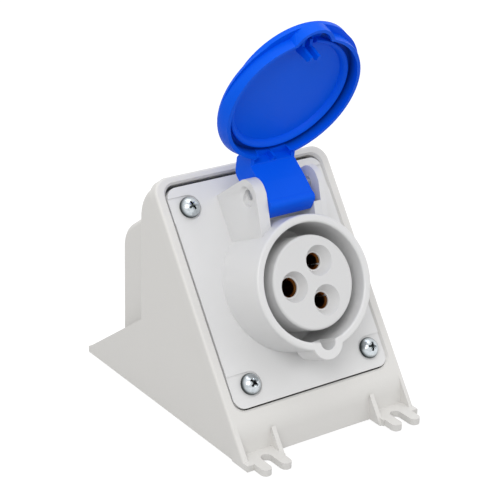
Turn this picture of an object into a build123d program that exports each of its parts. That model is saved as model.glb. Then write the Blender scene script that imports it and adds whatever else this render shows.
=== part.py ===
"""Inclined pin and sleeve receptacle: a moulded wall box with a tilted collar,
three brass contact sleeves in a round carrier, and a sprung lid on a hinge pin.

Sizes are in millimetres and degrees. The mounting face is Z = 0 with its middle at the
origin, the front looks along -Y and the lid is shown open.
"""
from build123d import *
import math
import os

os.makedirs("parts", exist_ok=True)

# Housing
wall = 2.6
base_depth = 116.4
floor_thickness = 2.6
panel_tilt = 54.43  # angle between the front panel and the mounting face
body_half = 40.5
body_top = 112.6  # measured up the panel from the mounting face
body_rear = 76.4  # measured back from the foot of the panel plane
body_corner_radius = 16.0
body_edge_radius = 2.6
rear_half = 32.0
rear_top = 107.4
rear_rear = 102.6
rear_corner_radius = 14.0
rear_edge_radius = 2.2
wing_end = 2.1  # height of the wings' rear ends
wing_thickness = 2.2

# Inclined frame round the panel
frame_half = 41.1
frame_top = 114.8
frame_depth = 5.0
frame_corner_radius = 7.0
frame_edge_radius = 1.1
fold_height = 14.1  # where the frame's face turns down to the front wall
front_foot = 6.6
fin_thickness = 2.1
inner_rib_offset = 23.7
inner_rib_thickness = 1.9

# Opening for the panel, and its ledge
opening_half = 36.84
opening_low = 21.58
opening_high = 111.5
opening_radius = 5.0
ledge_width = 3.5
ledge_depth = 4.8
ledge_thickness = 2.2
corner_pad = 11.5
boss_radius = 4.4
boss_length = 13.0

# Fixing lugs
lug_offset = 31.2
lug_thickness = 2.6
slot_width = 4.6
slot_depth = 7.9
prong_width = 4.5
prong_reach = 7.0
rear_slot_length = 9.0
rear_slot_inset = 6.9

# Cable entry in the rear wall
entry_radius = 10.2
entry_height = 27.0
grommet_flange = 13.0
grommet_flange_thickness = 1.8
grommet_lip = 1.2
grommet_nose = 5.2

# Front panel
panel_gap = 0.25
panel_top_gap = 1.0
panel_recess = 1.0
panel_thickness = 3.0
screw_offset = 28.72
screw_low = 30.43
screw_high = 101.55
screw_radius = 1.95
screw_clearance = 0.05
screw_head_radius = 4.4
screw_head_height = 2.7
screw_length = 15.0
recess_width = 0.9
recess_span = 4.2
recess_depth = 1.5

# Collar
collar_tilt = 10.74  # angle between the collar's axis and the panel's normal
collar_height = 58.84  # rim centre, measured up the panel
collar_rise = 22.57  # rim centre, measured out from the frame's face
collar_outer = 25.9
collar_bore = 22.75
collar_length = 32.0
collar_edge = 0.9
carrier_seat = 26.0
seat_radius = 24.3
key_offset = 22.3
key_groove = 3.4
key_wall = 3.0
key_length = 12.0
key_groove_depth = 10.5
cover_lug_offset = 28.4
cover_lug_radius = 3.5
cover_lug_length = 6.5

# Contact carrier
carrier_radius = 18.12
carrier_setback = 1.24
carrier_edge = 1.0
carrier_flange_thickness = 4.0
carrier_tail_radius = 17.5
carrier_tail_end = 43.0
fit_gap = 0.1
seal_width = 1.6
seal_groove = 0.9
seal_play = 0.02
pitch_radius = 8.8
recess_radius = 5.9
recess_rim = 0.5
recess_drop = 4.0
lip_depth = 6.6
shoulder_depth = 20.0
terminal_depth = 37.0

# Contact sleeves
mouth_setback = 4.6
sleeve_wall = 0.65
pin_bore_depth = 22.0
mouth_flare = 0.8
mouth_land = 0.12
flex_room = 1.0
sleeve_shoulder = 1.65
wire_bore = 2.4
wire_bore_depth = 13.0
sleeve_slot_width = 0.7
sleeve_slot_length = 13.0
ring_setback = 9.6
ring_width = 1.2
ring_groove = 0.3
ring_thickness = 0.7
ring_gap_angle = 40.0
# Name, clock position in degrees from three o'clock, and bore radius of each pole
poles = [("line", 59.0, 2.55), ("earth", 179.0, 3.05), ("neutral", 299.0, 2.55)]

# Terminal screws
terminal_radius = 1.75
terminal_head_radius = 2.9
terminal_head_height = 1.9
terminal_tip = 1.6  # from the sleeve's axis
terminal_stand = 5.9  # underside of the head, from the sleeve's axis
terminal_slot = 0.8
window_radius = 3.4

# Carrier cover
cover_radius = 19.6
cover_thickness = 2.5
cover_screw_radius = 1.25
cover_screw_head = 2.6
cover_screw_head_height = 1.7
cover_screw_length = 7.5

# Hinge
hinge_height = 97.5  # measured up the panel
hinge_rise = 19.0  # measured out from the frame's face
ear_inner = 10.5
ear_outer = 15.25
ear_back = 103.5
ear_rise = 25.8
ear_front_rise = 21.0
ear_front = 82.0
ear_radius = 6.0
pin_radius = 2.2
pin_fit = 0.03
pin_setback = 1.7
hole_mouth = 3.65
hole_mouth_depth = 1.35

# Lid, in its own closed frame: offsets from the collar's axis, and heights above the lip
open_angle = 131.0
lip_overlap = 3.0
lip_inner = 27.4
lip_outer = 28.8
lid_radius = 30.5
lid_widest = 4.0
lid_shoulder = 28.6
lid_shoulder_height = 6.5
lid_crown = 7.2
lid_floor = 5.2
rib_inner = 21.3
rib_outer = 22.4
rib_height = 3.9
tab_radius = 26.5
tab_shift = 5.2
tab_low = 4.4
tab_high = 6.4
bulge_offset = 23.4
bulge_radius = 8.0
bulge_wall = 1.3
hook_height = 2.4
hook_thickness = 1.0
hook_start = 21.0
hook_end = 16.4
hook_places = (-4.8, -1.4)
seal_radius = 25.4
seal_squeeze_gap = 0.1
knuckle_half = 10.25
cheek_thickness = 3.5

# Lid spring
spring_wire = 0.8
spring_play = 0.06
spring_turns = 5
spring_pitch = 1.7
spring_leg = 4.0

sin_tilt = math.sin(math.radians(panel_tilt))
cos_tilt = math.cos(math.radians(panel_tilt))
front_line = -base_depth / 2
rear_line = base_depth / 2
wing_height = wing_end * sin_tilt + base_depth * cos_tilt


def side_point(height, rise):
    """Y and Z of a point given by its height up the panel and its rise out of the frame's face."""
    return (front_line + height * cos_tilt - rise * sin_tilt, height * sin_tilt + rise * cos_tilt)


def at_depth(height, depth):
    """Y and Z of the point at a height up the panel that lies a depth behind the panel's foot."""
    rise = (height * cos_tilt - depth) / sin_tilt
    return side_point(height, rise)


def axial_plane(plane):
    """Plane with its x along X and its y along the given plane's normal, for turned profiles."""
    return Plane(plane.origin, x_dir=(1, 0, 0), z_dir=-plane.y_dir)


panel = Plane((0, front_line, 0), x_dir=(1, 0, 0), z_dir=(0, -sin_tilt, cos_tilt))
collar_angle = math.radians(panel_tilt + collar_tilt)
collar_plane = Plane((0, *side_point(collar_height, collar_rise)), x_dir=(1, 0, 0),
                     z_dir=(0, -math.sin(collar_angle), math.cos(collar_angle)))
hinge_y, hinge_z = side_point(hinge_height, hinge_rise)

# The open lid's frame is the closed one turned back about the hinge
closed_lip = collar_plane.offset(-lip_overlap)
swing = math.radians(-open_angle)
lip_y = closed_lip.origin.Y - hinge_y
lip_z = closed_lip.origin.Z - hinge_z
lid_plane = Plane(
    (0, hinge_y + lip_y * math.cos(swing) - lip_z * math.sin(swing),
     hinge_z + lip_y * math.sin(swing) + lip_z * math.cos(swing)),
    x_dir=(1, 0, 0),
    z_dir=(0, -math.sin(collar_angle + swing), math.cos(collar_angle + swing)))
lid_axis = Axis(lid_plane.origin, lid_plane.z_dir)
lid_side = Plane(lid_plane.origin, x_dir=lid_plane.y_dir, z_dir=(1, 0, 0))
# The hinge pin's place in the lid's frame
pin_local = closed_lip.to_local_coords(Vector(0, hinge_y, hinge_z))
pin_offset = pin_local.Y
pin_height = pin_local.Z

panel_screws_at = [(x, y) for x in (-screw_offset, screw_offset) for y in (screw_low, screw_high)]
plate_half = opening_half - panel_gap
plate_middle = (opening_low + opening_high) / 2
plate_back = panel_recess + panel_thickness
flange_back = carrier_seat + carrier_flange_thickness
seal_front = carrier_seat + (carrier_flange_thickness - seal_width) / 2


def profile_prism(points, half, mode=Mode.ADD, corner=None, radius=0):
    """Side profile in Y and Z, extruded to both sides, with one corner rounded if asked."""
    with BuildSketch(Plane.YZ) as side:
        with BuildLine():
            Polyline(*points, close=True)
        make_face()
        if corner:
            fillet(side.vertices().sort_by_distance((*corner, 0))[:1], radius)
    extrude(side.sketch, amount=half, both=True, mode=mode)


def rounded_rectangle(half, low, high, radius):
    """Rounded rectangle in the panel's frame, from its half width and its two heights."""
    with Locations((0, (low + high) / 2)):
        RectangleRounded(2 * half, high - low, radius)


# Housing: main body, narrower rear block, wings and floor, then the frame and its fins
body_corner = at_depth(body_top, body_rear)
rear_corner = at_depth(rear_top, rear_rear)
foot = (front_line + front_foot, 0)
fold = side_point(fold_height, 0)
# Inclined frame as a blank slab with its rounded corners and front edges
with BuildPart() as frame_blank:
    profile_prism([side_point(0, 0), side_point(frame_top, 0), side_point(frame_top, -frame_depth),
                   side_point(fold_height, -frame_depth), (foot[0] + wall, 0)], frame_half)
    fillet(frame_blank.edges().filter_by(
        lambda e: abs(abs(e.center().X) - frame_half) < 0.01
        and abs(panel.to_local_coords(e.center()).Y - frame_top) < 0.01), frame_corner_radius)
    fillet(frame_blank.edges().filter_by(
        lambda e: abs(panel.to_local_coords(e.center()).Z) < 0.01
        and panel.to_local_coords(e.center()).Y > 1), frame_edge_radius)

with BuildPart() as housing:
    profile_prism([foot, fold, side_point(body_top, -frame_depth / 2), body_corner,
                   (front_line + body_rear, 0)], body_half, corner=body_corner, radius=body_corner_radius)
    fillet(housing.edges().filter_by(
        lambda e: abs(abs(e.center().X) - body_half) < 0.01 and e.center().Z > wall
        and (e.center().Y > front_line + body_rear - 1 or e.center().Z > body_corner[1] - 8)), body_edge_radius)
    profile_prism([(0, 0), side_point(rear_top, -frame_depth), rear_corner, (front_line + rear_rear, 0)],
                  rear_half, corner=rear_corner, radius=rear_corner_radius)
    fillet(housing.edges().filter_by(
        lambda e: abs(abs(e.center().X) - rear_half) < 0.01 and e.center().Y > front_line + body_rear + 1
        and e.center().Z > wall), rear_edge_radius)
    # Wings carry the side walls' planes back to the rear edge
    with BuildSketch(Plane.YZ.offset(body_half - wing_thickness)) as wing_side:
        with BuildLine():
            Polyline((front_line + body_rear - body_edge_radius - 1, 0),
                     at_depth(wing_height, body_rear - body_edge_radius - 1),
                     at_depth(wing_height, base_depth), (rear_line, 0), close=True)
        make_face()
    extrude(amount=wing_thickness)
    mirror(about=Plane.YZ)
    with BuildSketch():
        with Locations((0, (foot[0] + rear_line) / 2)):
            Rectangle(2 * body_half, rear_line - foot[0])
    extrude(amount=floor_thickness)
    # The frame's slab runs down to the mounting face, where only its sides stay as fins
    add(frame_blank.part)
    profile_prism([(front_line - 1, -1), side_point(-1, 1), side_point(fold_height, 1), fold, foot,
                   (foot[0], -1)], frame_half - fin_thickness, mode=Mode.SUBTRACT)
    # Inner ribs and the lug plates with their open slots
    for side in (-1, 1):
        with BuildSketch(Plane.YZ.offset(side * inner_rib_offset - inner_rib_thickness / 2)):
            with BuildLine():
                Polyline(side_point(0, 0), fold, (foot[0] + wall / 2, 0), close=True)
            make_face()
        extrude(amount=inner_rib_thickness)
    with BuildSketch() as lug_plate:
        prong = (slot_width + prong_width) / 2
        for side in (-1, 1):
            with Locations((side * lug_offset, front_line - prong_reach / 2 + wall)):
                Rectangle(slot_width + 2 * prong_width, prong_reach + 2 * wall)
            with Locations((side * (inner_rib_offset + frame_half) / 2, front_line + foot[0] / 2 - front_line / 2)):
                Rectangle(frame_half - inner_rib_offset, foot[0] - front_line + wall / 2)
        for side in (-1, 1):
            with Locations((side * lug_offset, front_line - prong_reach + slot_depth / 2 - slot_width / 2)):
                Rectangle(slot_width, slot_depth + slot_width, mode=Mode.SUBTRACT)
            with Locations((side * lug_offset, front_line - prong_reach + slot_depth)):
                Circle(slot_width / 2, mode=Mode.SUBTRACT)
        fillet(lug_plate.vertices().filter_by(
            lambda v: abs(v.Y - front_line + prong_reach) < 0.01), prong_width / 2 - 0.05)
    extrude(amount=lug_thickness)
    # Inside of the body and of the rear block
    profile_prism([(foot[0] + wall, floor_thickness), side_point(fold_height, -wall),
                   side_point(opening_low - wall, -wall), side_point(opening_low - wall, -ledge_depth - ledge_thickness),
                   side_point(body_top - wall, -ledge_depth - ledge_thickness),
                   at_depth(body_top - wall, body_rear - wall), (front_line + body_rear - wall, floor_thickness)],
                  body_half - wall, mode=Mode.SUBTRACT)
    profile_prism([(0, floor_thickness), at_depth(rear_top - wall, -front_line), at_depth(rear_top - wall, rear_rear - wall),
                   (front_line + rear_rear - wall, floor_thickness)], rear_half - wall, mode=Mode.SUBTRACT)
    # Pocket for the panel, then the ledge's opening with pads left in its corners
    with BuildSketch(panel):
        rounded_rectangle(opening_half, opening_low, opening_high, opening_radius)
    extrude(amount=-ledge_depth, mode=Mode.SUBTRACT)
    with BuildSketch(panel.offset(-ledge_depth)) as ledge:
        with Locations((0, plate_middle)):
            Rectangle(2 * (opening_half - ledge_width), opening_high - opening_low - 2 * ledge_width)
            with GridLocations(2 * (opening_half - ledge_width), opening_high - opening_low - 2 * ledge_width, 2, 2):
                Rectangle(2 * corner_pad, 2 * corner_pad, mode=Mode.SUBTRACT)
    extrude(amount=-2 * ledge_thickness, mode=Mode.SUBTRACT)
    with BuildSketch(panel.offset(-ledge_depth)):
        with Locations(*panel_screws_at):
            Circle(boss_radius)
    extrude(amount=-boss_length)
    with BuildSketch(panel):
        with Locations(*panel_screws_at):
            Circle(screw_radius + screw_clearance)
    extrude(amount=-panel_recess - screw_length - 1, mode=Mode.SUBTRACT)
    # Cable entry through the rear wall, and the rear fixing slots
    with BuildSketch(Plane.XZ.offset(-(front_line + rear_rear + 1))):
        with Locations((0, entry_height)):
            Circle(entry_radius)
    extrude(amount=wall + 2, mode=Mode.SUBTRACT)
    with BuildSketch():
        with Locations((-lug_offset, rear_line - rear_slot_inset), (lug_offset, rear_line - rear_slot_inset)):
            SlotOverall(rear_slot_length, slot_width)
    extrude(amount=2 * floor_thickness, mode=Mode.SUBTRACT)
housing.part.label = "housing"
export_step(housing.part, "parts/housing.step")

# Front panel: plate, collar with its key bump, cover lugs and hinge ears in one moulding
with BuildPart() as front_panel:
    with BuildSketch(panel.offset(-panel_recess)):
        rounded_rectangle(plate_half, opening_low + panel_gap, opening_high - panel_top_gap,
                          opening_radius - panel_gap)
    extrude(amount=-panel_thickness)
    with BuildSketch(collar_plane):
        Circle(collar_outer)
    extrude(amount=-collar_length)
    with BuildSketch(collar_plane):
        with Locations((0, -key_offset)):
            Circle(key_groove + key_wall)
    extrude(amount=-key_length)
    with BuildSketch(collar_plane.offset(-collar_length)):
        with Locations((-cover_lug_offset, 0), (cover_lug_offset, 0)):
            Circle(cover_lug_radius)
            Rectangle(2 * cover_lug_radius, 2 * cover_lug_radius, align=(Align.CENTER, Align.CENTER))
    extrude(amount=cover_lug_length)
    for inner in (ear_inner, -ear_outer):
        with BuildSketch(Plane.YZ.offset(inner)) as ear:
            with BuildLine():
                Polyline(side_point(ear_back, -plate_back + 1), side_point(ear_back, ear_rise),
                         side_point(hinge_height - 2, ear_rise), side_point(ear_front, ear_front_rise),
                         side_point(ear_front, -plate_back + 1), close=True)
            make_face()
            fillet(ear.vertices().sort_by_distance((*side_point(ear_back, ear_rise), 0))[:1], ear_radius)
        extrude(amount=ear_outer - ear_inner)
    with BuildSketch(collar_plane):
        Circle(collar_bore)
    extrude(amount=-carrier_seat, mode=Mode.SUBTRACT)
    with BuildSketch(collar_plane.offset(-collar_length)):
        Circle(seat_radius)
    extrude(amount=collar_length - carrier_seat, mode=Mode.SUBTRACT)
    with BuildSketch(collar_plane):
        with Locations((0, -key_offset)):
            Circle(key_groove)
    extrude(amount=-key_groove_depth, mode=Mode.SUBTRACT)
    # Screw holes of the plate and of the cover lugs
    with BuildSketch(panel):
        with Locations(*panel_screws_at):
            Circle(screw_radius + 5 * screw_clearance)
    extrude(amount=-2 * plate_back, mode=Mode.SUBTRACT)
    with BuildSketch(collar_plane.offset(-collar_length)):
        with Locations((-cover_lug_offset, 0), (cover_lug_offset, 0)):
            Circle(cover_screw_radius + screw_clearance)
    extrude(amount=cover_screw_length - cover_thickness + 0.5, mode=Mode.SUBTRACT)
    # Pin holes of the ears, each with a conical mouth
    with BuildSketch(Plane.YZ.offset(-ear_outer)):
        with Locations((hinge_y, hinge_z)):
            Circle(pin_radius + pin_fit)
    extrude(amount=2 * ear_outer, mode=Mode.SUBTRACT)
    for side in (-1, 1):
        with BuildSketch(Plane.YZ.offset(side * ear_outer)):
            with Locations((hinge_y, hinge_z)):
                Circle(hole_mouth)
        with BuildSketch(Plane.YZ.offset(side * (ear_outer - hole_mouth_depth))):
            with Locations((hinge_y, hinge_z)):
                Circle(pin_radius + 0.3)
        loft(mode=Mode.SUBTRACT)
    fillet(front_panel.edges().filter_by(
        lambda e: abs(collar_plane.to_local_coords(e.center()).Z) < 0.01
        and all(collar_plane.to_local_coords(v.center()).Z > -0.01 for v in e.vertices())),
        collar_edge)
front_panel.part.label = "front_panel"
export_step(front_panel.part, "parts/front_panel.step")

# Flat gasket between the plate and the ledge
with BuildPart() as panel_gasket:
    with BuildSketch(panel.offset(-ledge_depth)):
        rounded_rectangle(plate_half, opening_low + panel_gap, opening_high - panel_gap, opening_radius - panel_gap)
        with Locations((0, plate_middle)):
            Rectangle(2 * (opening_half - ledge_width), opening_high - opening_low - 2 * ledge_width,
                      mode=Mode.SUBTRACT)
    extrude(amount=ledge_depth - plate_back)
panel_gasket.part.label = "panel_gasket"
export_step(panel_gasket.part, "parts/panel_gasket.step")


def cross_recess(width, span, depth):
    """Cross recess cut into the top of the screw heads at the current locations."""
    Box(span, width, depth, align=(Align.CENTER, Align.CENTER, Align.MAX), mode=Mode.SUBTRACT)
    Box(width, span, depth, align=(Align.CENTER, Align.CENTER, Align.MAX), mode=Mode.SUBTRACT)


# Four pan head screws
with BuildPart() as panel_screws:
    for x, y in panel_screws_at:
        seat = Plane(panel.from_local_coords((x, y, -panel_recess)), x_dir=(1, 0, 0), z_dir=panel.z_dir)
        with BuildSketch(axial_plane(seat)):
            with BuildLine():
                Polyline((recess_width, screw_head_height), (0, screw_head_height), (0, -screw_length),
                         (screw_radius - 0.6, -screw_length),
                         (screw_radius, -screw_length + 1.2), (screw_radius, 0), (screw_head_radius, 0),
                         (screw_head_radius, screw_head_height * 0.3))
                ThreePointArc((screw_head_radius, screw_head_height * 0.3),
                              (screw_head_radius * 0.66, screw_head_height * 0.83),
                              (recess_width, screw_head_height))
            make_face()
        revolve(axis=Axis(seat.origin, seat.z_dir))
        with Locations(seat.offset(screw_head_height)):
            cross_recess(recess_width, recess_span, recess_depth)
panel_screws.part.label = "panel_screws"
export_step(panel_screws.part, "parts/panel_screws.step")


def pole_plane(angle, depth):
    """Plane square to a pole's axis at a depth below the rim, with its x pointing away from the collar's axis."""
    a = math.radians(angle)
    place = collar_plane.from_local_coords((pitch_radius * math.cos(a), pitch_radius * math.sin(a), -depth))
    outward = collar_plane.x_dir * math.cos(a) + collar_plane.y_dir * math.sin(a)
    return Plane(place, x_dir=outward, z_dir=collar_plane.z_dir)


def turned(plane, points, mode=Mode.ADD):
    """Solid of revolution about a plane's normal from radius and height pairs."""
    with BuildSketch(Plane(plane.origin, x_dir=plane.x_dir, z_dir=-plane.y_dir)) as half_section:
        with BuildLine():
            Polyline(*points, close=True)
        make_face()
    revolve(half_section.sketch, axis=Axis(plane.origin, plane.z_dir), mode=mode)


def radial_plane(angle, out):
    """Plane facing outward on a terminal's axis, a distance out from the pole's axis."""
    base = pole_plane(angle, terminal_depth)
    return Plane(base.origin + base.x_dir * out, x_dir=base.z_dir, z_dir=base.x_dir)


# Contact carrier: round insert with a seating flange, stepped bores and terminal windows
with BuildPart() as contact_carrier:
    turned(collar_plane, [
        (0, -carrier_setback), (carrier_radius, -carrier_setback), (carrier_radius, -carrier_seat),
        (seat_radius - fit_gap, -carrier_seat), (seat_radius - fit_gap, -seal_front),
        (seat_radius - seal_groove, -seal_front), (seat_radius - seal_groove, -seal_front - seal_width),
        (seat_radius - fit_gap, -seal_front - seal_width), (seat_radius - fit_gap, -flange_back),
        (carrier_tail_radius, -flange_back), (carrier_tail_radius, -carrier_tail_end), (0, -carrier_tail_end)])
    fillet(contact_carrier.edges().filter_by(
        lambda e: abs(collar_plane.to_local_coords(e.center()).Z + carrier_setback) < 0.01), carrier_edge)
    for name, angle, bore in poles:
        tube = bore + sleeve_wall
        turned(pole_plane(angle, carrier_setback), [
            (0, 1), (recess_radius + recess_rim, 1), (recess_radius, 0), (tube + recess_rim, -recess_drop), (tube + fit_gap, -recess_drop),
            (tube + fit_gap, -lip_depth), (tube + flex_room, -lip_depth), (tube + flex_room, -shoulder_depth),
            (tube + sleeve_shoulder + fit_gap, -shoulder_depth), (tube + sleeve_shoulder + fit_gap, -carrier_tail_end),
            (0, -carrier_tail_end)], mode=Mode.SUBTRACT)
        with BuildSketch(radial_plane(angle, tube)):
            Circle(window_radius)
        extrude(amount=carrier_tail_radius, mode=Mode.SUBTRACT)
contact_carrier.part.label = "contact_carrier"
export_step(contact_carrier.part, "parts/contact_carrier.step")

# Seal ring in the carrier's flange
with BuildPart() as carrier_seal:
    turned(collar_plane, [
        (seat_radius - seal_groove, -seal_front - seal_play), (seat_radius - seal_play, -seal_front - seal_play),
        (seat_radius - seal_play, -seal_front - seal_width + seal_play),
        (seat_radius - seal_groove, -seal_front - seal_width + seal_play)])
carrier_seal.part.label = "carrier_seal"
export_step(carrier_seal.part, "parts/carrier_seal.step")

# Contact sleeves with slotted mouths, and the split rings that close them on the pins
for name, angle, bore in poles:
    tube = bore + sleeve_wall
    shoulder = shoulder_depth + carrier_setback
    mouth = pole_plane(angle, carrier_setback + mouth_setback)
    groove = ring_setback - mouth_setback
    tail = carrier_tail_end - carrier_setback - mouth_setback
    step = shoulder - carrier_setback - mouth_setback
    with BuildPart() as sleeve:
        turned(mouth, [
            (bore, -pin_bore_depth), (bore, -mouth_flare), (tube - mouth_land, 0), (tube, 0), (tube, -groove),
            (tube - ring_groove, -groove), (tube - ring_groove, -groove - ring_width), (tube, -groove - ring_width),
            (tube, -step), (tube + sleeve_shoulder, -step), (tube + sleeve_shoulder, -tail), (wire_bore, -tail),
            (wire_bore, wire_bore_depth - tail), (0, wire_bore_depth - tail), (0, -pin_bore_depth)])
        with Locations(mouth):
            Box(sleeve_slot_width, 2 * tube + 1, sleeve_slot_length, align=(Align.CENTER, Align.CENTER, Align.MAX),
                mode=Mode.SUBTRACT)
        with BuildSketch(radial_plane(angle, 0)):
            Circle(terminal_radius + screw_clearance)
        extrude(amount=2 * tube, mode=Mode.SUBTRACT)
    sleeve.part.label = name + "_sleeve"
    export_step(sleeve.part, "parts/" + name + "_sleeve.step")

    with BuildPart() as ring:
        inner = tube - ring_groove + 0.02
        with BuildSketch(Plane(mouth.origin, x_dir=mouth.x_dir, z_dir=-mouth.y_dir)):
            with Locations((inner + ring_thickness / 2, -groove - ring_width / 2)):
                Rectangle(ring_thickness, ring_width - 0.1)
        revolve(axis=Axis(mouth.origin, mouth.z_dir), revolution_arc=360 - ring_gap_angle)
    ring.part.label = name + "_spring_ring"
    export_step(ring.part, "parts/" + name + "_spring_ring.step")

# Terminal screws, one at each sleeve's tail
with BuildPart() as terminal_screws:
    for name, angle, bore in poles:
        head = radial_plane(angle, terminal_stand + bore - poles[0][2])
        turned(head, [
            (0, terminal_head_height), (terminal_head_radius - 0.4, terminal_head_height),
            (terminal_head_radius, terminal_head_height - 0.4), (terminal_head_radius, 0), (terminal_radius, 0),
            (terminal_radius, terminal_tip - terminal_stand), (0, terminal_tip - terminal_stand)])
        with Locations(head.offset(terminal_head_height)):
            Box(terminal_slot, 2 * terminal_head_radius + 1, 0.9, align=(Align.CENTER, Align.CENTER, Align.MAX),
                mode=Mode.SUBTRACT)
terminal_screws.part.label = "terminal_screws"
export_step(terminal_screws.part, "parts/terminal_screws.step")

# Carrier cover: cup with a flange, wire holes and terminal windows
with BuildPart() as carrier_cover:
    turned(collar_plane, [
        (0, -carrier_tail_end - cover_thickness), (cover_radius, -carrier_tail_end - cover_thickness),
        (cover_radius, -collar_length - cover_thickness), (collar_outer, -collar_length - cover_thickness),
        (collar_outer, -collar_length), (seat_radius - fit_gap, -collar_length), (seat_radius - fit_gap, -flange_back),
        (carrier_tail_radius + fit_gap, -flange_back), (carrier_tail_radius + fit_gap, -carrier_tail_end),
        (0, -carrier_tail_end)])
    with BuildSketch(collar_plane.offset(-collar_length)) as cover_ears:
        with Locations((-cover_lug_offset, 0), (cover_lug_offset, 0)):
            Circle(cover_lug_radius)
            Rectangle(2 * cover_lug_radius, 2 * cover_lug_radius)
        Circle(cover_radius, mode=Mode.SUBTRACT)
    extrude(amount=-cover_thickness)
    with BuildSketch(collar_plane.offset(-collar_length)):
        with Locations((-cover_lug_offset, 0), (cover_lug_offset, 0)):
            Circle(cover_screw_radius + 5 * screw_clearance)
    extrude(amount=-2 * cover_thickness, mode=Mode.SUBTRACT)
    for name, angle, bore in poles:
        with BuildSketch(pole_plane(angle, carrier_tail_end)):
            Circle(wire_bore + fit_gap)
        extrude(amount=-2 * cover_thickness, mode=Mode.SUBTRACT)
        with BuildSketch(radial_plane(angle, bore + sleeve_wall)):
            Circle(window_radius)
        extrude(amount=cover_radius, mode=Mode.SUBTRACT)
carrier_cover.part.label = "carrier_cover"
export_step(carrier_cover.part, "parts/carrier_cover.step")

# Two screws that hold the cover and the carrier to the collar's lugs
with BuildPart() as cover_screws:
    for x in (-cover_lug_offset, cover_lug_offset):
        place = collar_plane.from_local_coords((x, 0, -collar_length - cover_thickness))
        under = Plane(place, x_dir=(1, 0, 0), z_dir=-collar_plane.z_dir)
        turned(under, [
            (0, cover_screw_head_height), (cover_screw_head * 0.7, cover_screw_head_height),
            (cover_screw_head, cover_screw_head_height * 0.5), (cover_screw_head, 0), (cover_screw_radius, 0),
            (cover_screw_radius, -cover_screw_length), (0, -cover_screw_length)])
        with Locations(under.offset(cover_screw_head_height)):
            cross_recess(0.6, 2.6, 0.9)
cover_screws.part.label = "cover_screws"
export_step(cover_screws.part, "parts/cover_screws.step")

# Hinge pin
with BuildPart() as hinge_pin:
    with BuildSketch(Plane.YZ.offset(pin_setback - ear_outer)):
        with Locations((hinge_y, hinge_z)):
            Circle(pin_radius)
    extrude(amount=2 * (ear_outer - pin_setback))
    chamfer(hinge_pin.edges().filter_by(GeomType.CIRCLE), 0.3)
hinge_pin.part.label = "hinge_pin"
export_step(hinge_pin.part, "parts/hinge_pin.step")

# Lid: turned dish with a finger tab, a bulge over the key and a hinge knuckle
with BuildPart() as lid:
    with BuildSketch(axial_plane(lid_plane)):
        with BuildLine():
            Polyline((0, lid_crown), (0, 0), (lip_outer, 0), (lid_radius, lid_widest))
            ThreePointArc((lid_radius, lid_widest), (lid_radius - 0.5, lid_widest + 1.4),
                          (lid_shoulder, lid_shoulder_height))
            ThreePointArc((lid_shoulder, lid_shoulder_height), (lid_shoulder / 2, lid_crown - 0.15), (0, lid_crown))
        make_face()
    revolve(axis=lid_axis)
    with BuildSketch(lid_plane.offset(tab_low)):
        with Locations((0, -tab_shift)):
            Circle(tab_radius)
    extrude(amount=tab_high - tab_low)
    with BuildSketch(lid_plane):
        with Locations((0, -bulge_offset)):
            Circle(bulge_radius + bulge_wall)
    extrude(amount=tab_low)
    # Knuckle: arm over the skirt, barrel round the pin and a tail below it
    with BuildSketch(lid_side) as knuckle:
        with BuildLine():
            Polyline((lip_inner, lid_widest), (lip_outer - 1, lid_crown - 0.6), (pin_offset - 4, lid_crown + 1.5),
                     (pin_offset + 2.8, lid_crown - 0.6), (pin_offset + 4.9, pin_height + 4),
                     (pin_offset + 4.6, pin_height - 9.2), (pin_offset - 2.2, pin_height - 9.4),
                     (pin_offset - 5.1, pin_height), (lip_outer + 1.6, 0), (lip_inner, 1), close=True)
        make_face()
        near = knuckle.vertices()
        fillet(near.sort_by_distance((pin_offset + 2.8, lid_crown - 0.6, 0))[:1], 4)
        near = knuckle.vertices()
        fillet(near.sort_by_distance((pin_offset + 4.6, pin_height - 9.2, 0))[:1], 1.5)
        near = knuckle.vertices()
        fillet(near.sort_by_distance((pin_offset - 2.2, pin_height - 9.4, 0))[:1], 2.6)
        near = knuckle.vertices()
        fillet(near.sort_by_distance((pin_offset - 5.1, pin_height, 0))[:1], 14)
    extrude(amount=knuckle_half, both=True)
    turned(lid_plane, [
        (0, -lid_widest), (lip_inner, -lid_widest), (lip_inner, lid_floor), (rib_outer, lid_floor),
        (rib_outer, rib_height), (rib_inner, rib_height), (rib_inner - 0.8, lid_floor), (0, lid_floor)],
        mode=Mode.SUBTRACT)
    with BuildSketch(lid_plane.offset(-1)):
        with Locations((0, -bulge_offset)):
            Circle(bulge_radius)
        Circle(seal_radius + fit_gap, mode=Mode.SUBTRACT)
    extrude(amount=lid_floor + 1, mode=Mode.SUBTRACT)
    for x in hook_places:
        with BuildSketch(Plane(lid_side.origin, x_dir=lid_side.x_dir, z_dir=lid_side.z_dir).offset(x)):
            with BuildLine():
                Polyline((-hook_start, lid_floor + 0.5), (-hook_start, hook_height), (-hook_start + 1.4, hook_height),
                         (-hook_end, lid_floor), (-hook_end, lid_floor + 0.5), close=True)
            make_face()
        extrude(amount=hook_thickness)
    # Spring room between the cheeks, open to the outer side
    with BuildSketch(lid_side) as room:
        with BuildLine():
            Polyline((pin_offset + 8, pin_height - 7.6), (pin_offset - 1.2, pin_height - 7.6),
                     (pin_offset - 3.5, pin_height - 0.4), (pin_offset - 3.3, pin_height + 3.4),
                     (pin_offset - 1.4, pin_height + 8.4), (pin_offset + 8, pin_height + 8.4), close=True)
        make_face()
        with Locations((pin_offset, pin_height)):
            Circle(pin_radius + spring_play + spring_wire + 0.35)
    extrude(amount=knuckle_half - cheek_thickness, both=True, mode=Mode.SUBTRACT)
    with BuildSketch(lid_side):
        with Locations((pin_offset, pin_height)):
            Circle(pin_radius + 2 * pin_fit)
    extrude(amount=knuckle_half, both=True, mode=Mode.SUBTRACT)
lid.part.label = "lid"
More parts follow.
